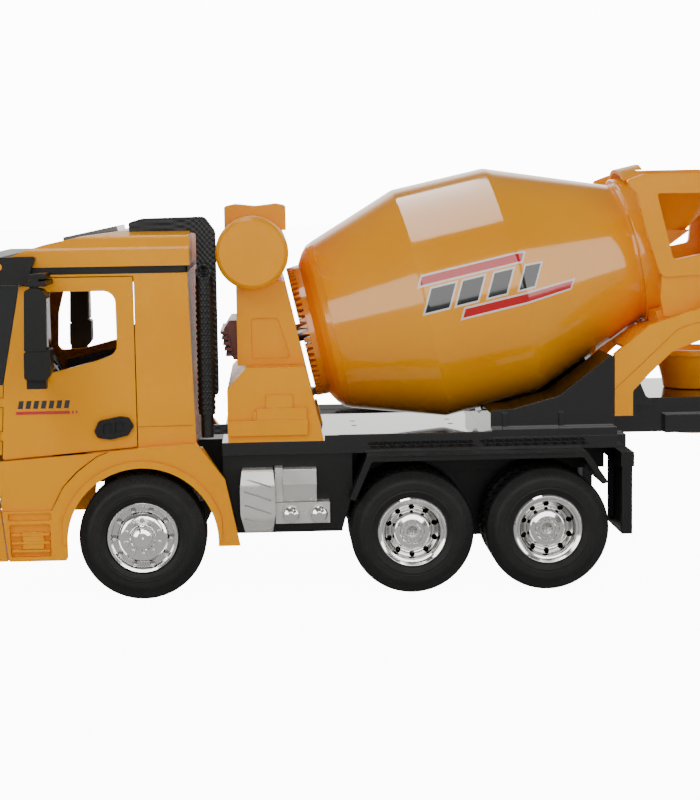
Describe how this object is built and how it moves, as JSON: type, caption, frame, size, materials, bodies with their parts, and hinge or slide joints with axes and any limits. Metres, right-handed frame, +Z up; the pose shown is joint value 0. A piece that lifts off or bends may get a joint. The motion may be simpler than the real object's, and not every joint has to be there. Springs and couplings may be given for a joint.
{
  "type": "toy concrete mixer truck",
  "caption": "Toy concrete mixer truck with a tilted turning drum, steered front wheels, double rear axles, opening cab doors, hopper and swinging discharge chute.",
  "frame": {"origin": "centre of the bounding box in plan, on the ground plane", "axes": "+Z up, the truck faces -X, +X towards the chute, +Y to the truck's right"},
  "size_m": [0.36, 0.177, 0.178],
  "materials": {
    "body_yellow": "semi gloss injection moulding",
    "drum_yellow": "polished moulding",
    "black_plastic": "satin",
    "deck_gloss": "mirror gloss",
    "gloss_black": "gloss",
    "tyre": "matt",
    "chrome": "vacuum plated plastic",
    "steel": "drawn",
    "motor_can": "zinc plated",
    "brass": "machined",
    "gear_nylon": "moulded",
    "silver_plastic": "silver painted",
    "cooler_red": "satin",
    "dark_glass": "tinted",
    "lamp_red": "gloss",
    "lamp_clear": "gloss",
    "interior_plastic": "satin"
  },
  "bodies": {
    "chassis": {"chassis_frame": "black_plastic", "axle_housing": "black_plastic", "belly_cover": "black_plastic", "front_axle_beam": "black_plastic", "motors": "motor_can", "pins_and_screws": "steel", "deck": "deck_gloss", "rear_ramp": "deck_gloss", "rear_mudguards": "black_plastic", "tail_platform": "black_plastic", "tail_lamps": "lamp_red", "side_tanks": "silver_plastic", "air_tanks": "chrome", "pedestal_lower": "body_yellow", "pedestal_upper": "body_yellow", "cooler": "cooler_red", "water_tank": "body_yellow", "cab_shell": "body_yellow", "cab_roof": "body_yellow", "windscreen": "dark_glass", "roof_trim": "black_plastic", "roof_hatch": "gloss_black", "exhaust_stack": "black_plastic", "bumper": "body_yellow", "grille": "black_plastic", "headlamps": "lamp_clear", "cab_lower_panels": "body_yellow", "cab_interior": "interior_plastic", "rear_frame": "body_yellow", "hopper_frame": "body_yellow", "hopper_funnel": "body_yellow"},
    "knuckle_l": {"knuckle_left": "black_plastic"},
    "knuckle_r": {"knuckle_right": "black_plastic"},
    "rack": {"steering_rack": "gear_nylon"},
    "steer_pinion": {"steering_pinion": "gear_nylon"},
    "wheel_fl": {"front_tyre_left": "tyre", "front_rim_left": "chrome"},
    "wheel_fr": {"front_tyre_right": "tyre", "front_rim_right": "chrome"},
    "axle_middle": {"tyres_middle": "tyre", "rims_middle": "chrome", "shaft_middle": "steel", "axle_gear": "gear_nylon"},
    "axle_rear": {"tyres_rear": "tyre", "rims_rear": "chrome", "shaft_rear": "steel"},
    "idler": {"idler_gear": "gear_nylon"},
    "drive_pinion": {"motor_pinion": "brass"},
    "drum": {"drum_shell": "drum_yellow", "drum_cap": "drum_yellow", "drum_ring_gear": "drum_yellow", "mixing_blades": "drum_yellow", "drum_shaft": "steel"},
    "drum_pinion": {"mixer_pinion": "gear_nylon"},
    "door_l": {"door_left": "body_yellow", "door_fittings_left": "black_plastic"},
    "door_r": {"door_right": "body_yellow", "door_fittings_right": "black_plastic"},
    "chute": {"chute_base": "body_yellow"},
    "chute_end": {"chute_trough": "body_yellow"}
  },
  "joints": [
    {"name": "drum_spin", "type": "hinge", "parent": "chassis", "child": "drum", "pos_m": [-0.03005, 0, 0.1091], "axis": [0.9751, 0, 0.2215], "continuous": true},
    {"name": "drum_pinion_spin", "type": "hinge", "parent": "chassis", "child": "drum_pinion", "pos_m": [-0.04149, 0, 0.07881], "axis": [-0.2215, 0, 0.9751], "continuous": true},
    {"name": "steer_left", "type": "hinge", "parent": "chassis", "child": "knuckle_l", "pos_m": [-0.112, -0.037, 0.0265], "axis": [0, 0, 1], "range_deg": [-16, 16]},
    {"name": "steer_right", "type": "hinge", "parent": "chassis", "child": "knuckle_r", "pos_m": [-0.112, 0.037, 0.0265], "axis": [0, 0, 1], "range_deg": [-16, 16]},
    {"name": "rack_slide", "type": "slide", "parent": "chassis", "child": "rack", "axis": [0, 1, 0], "range_m": [-0.0034, 0.0034]},
    {"name": "steer_pinion_spin", "type": "hinge", "parent": "chassis", "child": "steer_pinion", "pos_m": [-0.0917, 0, 0.033], "axis": [0, 0, 1], "range_deg": [-42, 42]},
    {"name": "wheel_front_left", "type": "hinge", "parent": "knuckle_l", "child": "wheel_fl", "pos_m": [-0.112, -0.054, 0.0265], "axis": [0, 1, 0], "continuous": true},
    {"name": "wheel_front_right", "type": "hinge", "parent": "knuckle_r", "child": "wheel_fr", "pos_m": [-0.112, 0.054, 0.0265], "axis": [0, 1, 0], "continuous": true},
    {"name": "axle_middle_spin", "type": "hinge", "parent": "chassis", "child": "axle_middle", "pos_m": [0.0004, 0, 0.026], "axis": [0, 1, 0], "continuous": true},
    {"name": "axle_rear_spin", "type": "hinge", "parent": "chassis", "child": "axle_rear", "pos_m": [0.0574, 0, 0.026], "axis": [0, 1, 0], "continuous": true},
    {"name": "idler_spin", "type": "hinge", "parent": "chassis", "child": "idler", "pos_m": [0.00804, 0.01, 0.03364], "axis": [0, 1, 0], "continuous": true},
    {"name": "drive_pinion_spin", "type": "hinge", "parent": "chassis", "child": "drive_pinion", "pos_m": [0.01704, 0.01, 0.03364], "axis": [0, 1, 0], "continuous": true},
    {"name": "door_left_swing", "type": "hinge", "parent": "chassis", "child": "door_l", "pos_m": [-0.1702, -0.0598, 0.08], "axis": [0, 0, -1], "range_deg": [0, 60]},
    {"name": "door_right_swing", "type": "hinge", "parent": "chassis", "child": "door_r", "pos_m": [-0.1702, 0.0598, 0.08], "axis": [0, 0, 1], "range_deg": [0, 60]},
    {"name": "chute_swivel", "type": "hinge", "parent": "chassis", "child": "chute", "pos_m": [0.133, 0, 0.07], "axis": [0, 0, 1], "range_deg": [-35, 35]},
    {"name": "chute_fold", "type": "hinge", "parent": "chute", "child": "chute_end", "pos_m": [0.153, 0, 0.084], "axis": [0, -1, 0], "range_deg": [0, 88]}
  ],
  "couplings": [
    {"joint": "drum_pinion_spin", "follows": "drum_spin", "ratio": 5.3333},
    {"joint": "steer_right", "follows": "steer_left", "ratio": 1},
    {"joint": "rack_slide", "follows": "steer_left", "m_per_rad": 0.0119},
    {"joint": "steer_pinion_spin", "follows": "steer_left", "ratio": -2.4792},
    {"joint": "idler_spin", "follows": "axle_middle_spin", "ratio": -0.8},
    {"joint": "drive_pinion_spin", "follows": "axle_middle_spin", "ratio": 1.6}
  ]
}
